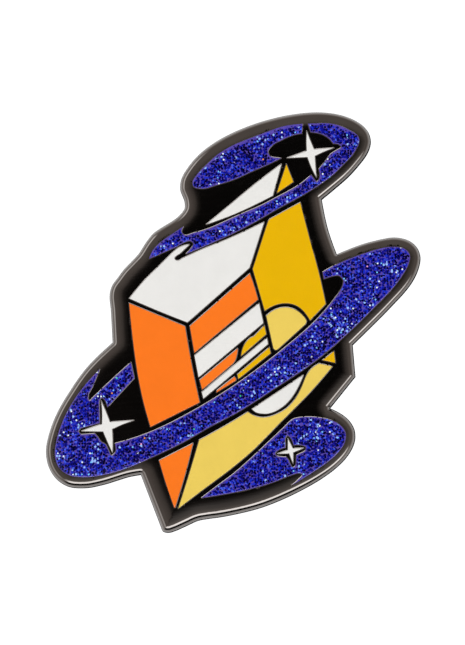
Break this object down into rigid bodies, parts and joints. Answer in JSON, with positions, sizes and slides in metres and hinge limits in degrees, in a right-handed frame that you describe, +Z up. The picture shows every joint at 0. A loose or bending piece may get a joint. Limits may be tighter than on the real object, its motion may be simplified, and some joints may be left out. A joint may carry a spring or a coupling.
{
  "type": "enamel pin",
  "caption": "Hard enamel lapel pin: a tilted striped block inside three swirling glitter rings with sparkle stars, on two posts with butterfly clutches.",
  "frame": {"origin": "on the back face, midway between the two posts", "axes": "+Z up as the pin is worn, +X to the right seen from the front, +Y out of the back face along the posts; the enamel face looks to -Y"},
  "size_m": [0.0452, 0.0095, 0.0506],
  "materials": {
    "black_nickel": "polished black nickel plating",
    "black_nickel_post": "black nickel plated",
    "solder": "dull solder",
    "nickel_plate": "bright nickel plated",
    "spring_steel": "nickel plated spring strip",
    "glitter_enamel": "polished violet-blue glitter enamel",
    "white_enamel": "polished flush enamel",
    "gold_enamel": "polished flush enamel",
    "cream_enamel": "polished flush enamel",
    "orange_enamel": "polished flush enamel"
  },
  "bodies": {
    "pin": {"metal_base": "black_nickel", "glitter_upper_left": "glitter_enamel", "glitter_upper_band": "glitter_enamel", "glitter_middle_ring": "glitter_enamel", "glitter_lower": "glitter_enamel", "white_upper": "white_enamel", "white_big": "white_enamel", "white_stripe_1": "white_enamel", "white_stripe_2": "white_enamel", "white_crescent": "white_enamel", "star_1": "white_enamel", "star_2": "white_enamel", "star_3": "white_enamel", "gold_small_top": "gold_enamel", "gold_side": "gold_enamel", "gold_stripe_upper": "gold_enamel", "gold_stripe_lower": "gold_enamel", "gold_right_tip": "gold_enamel", "cream_half_disc": "cream_enamel", "cream_bottom": "cream_enamel", "orange_side": "orange_enamel", "orange_stripe_1": "orange_enamel", "orange_stripe_2": "orange_enamel", "orange_stripe_3": "orange_enamel", "orange_tip": "orange_enamel", "upper_post": "black_nickel_post", "lower_post": "black_nickel_post", "upper_solder_ring": "solder", "lower_solder_ring": "solder"},
    "upper_clutch": {"upper_clutch_disc": "nickel_plate", "upper_clutch_cover": "nickel_plate"},
    "upper_clutch_left_half": {"upper_clutch_left_wing": "spring_steel"},
    "upper_clutch_right_half": {"upper_clutch_right_wing": "spring_steel"},
    "lower_clutch": {"lower_clutch_disc": "nickel_plate", "lower_clutch_cover": "nickel_plate"},
    "lower_clutch_left_half": {"lower_clutch_left_wing": "spring_steel"},
    "lower_clutch_right_half": {"lower_clutch_right_wing": "spring_steel"}
  },
  "joints": [
    {"name": "upper_clutch_slide", "type": "slide", "parent": "pin", "child": "upper_clutch", "axis": [0, 1, 0], "range_m": [-0.0019, 0.012]},
    {"name": "upper_clutch_left_squeeze", "type": "hinge", "parent": "upper_clutch", "child": "upper_clutch_left_half", "pos_m": [0.00055, 0.00355, 0.012], "axis": [0, 0, -1], "range_deg": [0, 10], "stiffness_Nm_per_rad": 0.2, "springref_deg": -5.73},
    {"name": "upper_clutch_right_squeeze", "type": "hinge", "parent": "upper_clutch", "child": "upper_clutch_right_half", "pos_m": [0.00545, 0.00355, 0.012], "axis": [0, 0, 1], "range_deg": [0, 10], "stiffness_Nm_per_rad": 0.2, "springref_deg": -5.73},
    {"name": "lower_clutch_slide", "type": "slide", "parent": "pin", "child": "lower_clutch", "axis": [0, 1, 0], "range_m": [-0.0019, 0.012]},
    {"name": "lower_clutch_left_squeeze", "type": "hinge", "parent": "lower_clutch", "child": "lower_clutch_left_half", "pos_m": [-0.00545, 0.00355, -0.012], "axis": [0, 0, -1], "range_deg": [0, 10], "stiffness_Nm_per_rad": 0.2, "springref_deg": -5.73},
    {"name": "lower_clutch_right_squeeze", "type": "hinge", "parent": "lower_clutch", "child": "lower_clutch_right_half", "pos_m": [-0.00055, 0.00355, -0.012], "axis": [0, 0, 1], "range_deg": [0, 10], "stiffness_Nm_per_rad": 0.2, "springref_deg": -5.73}
  ]
}
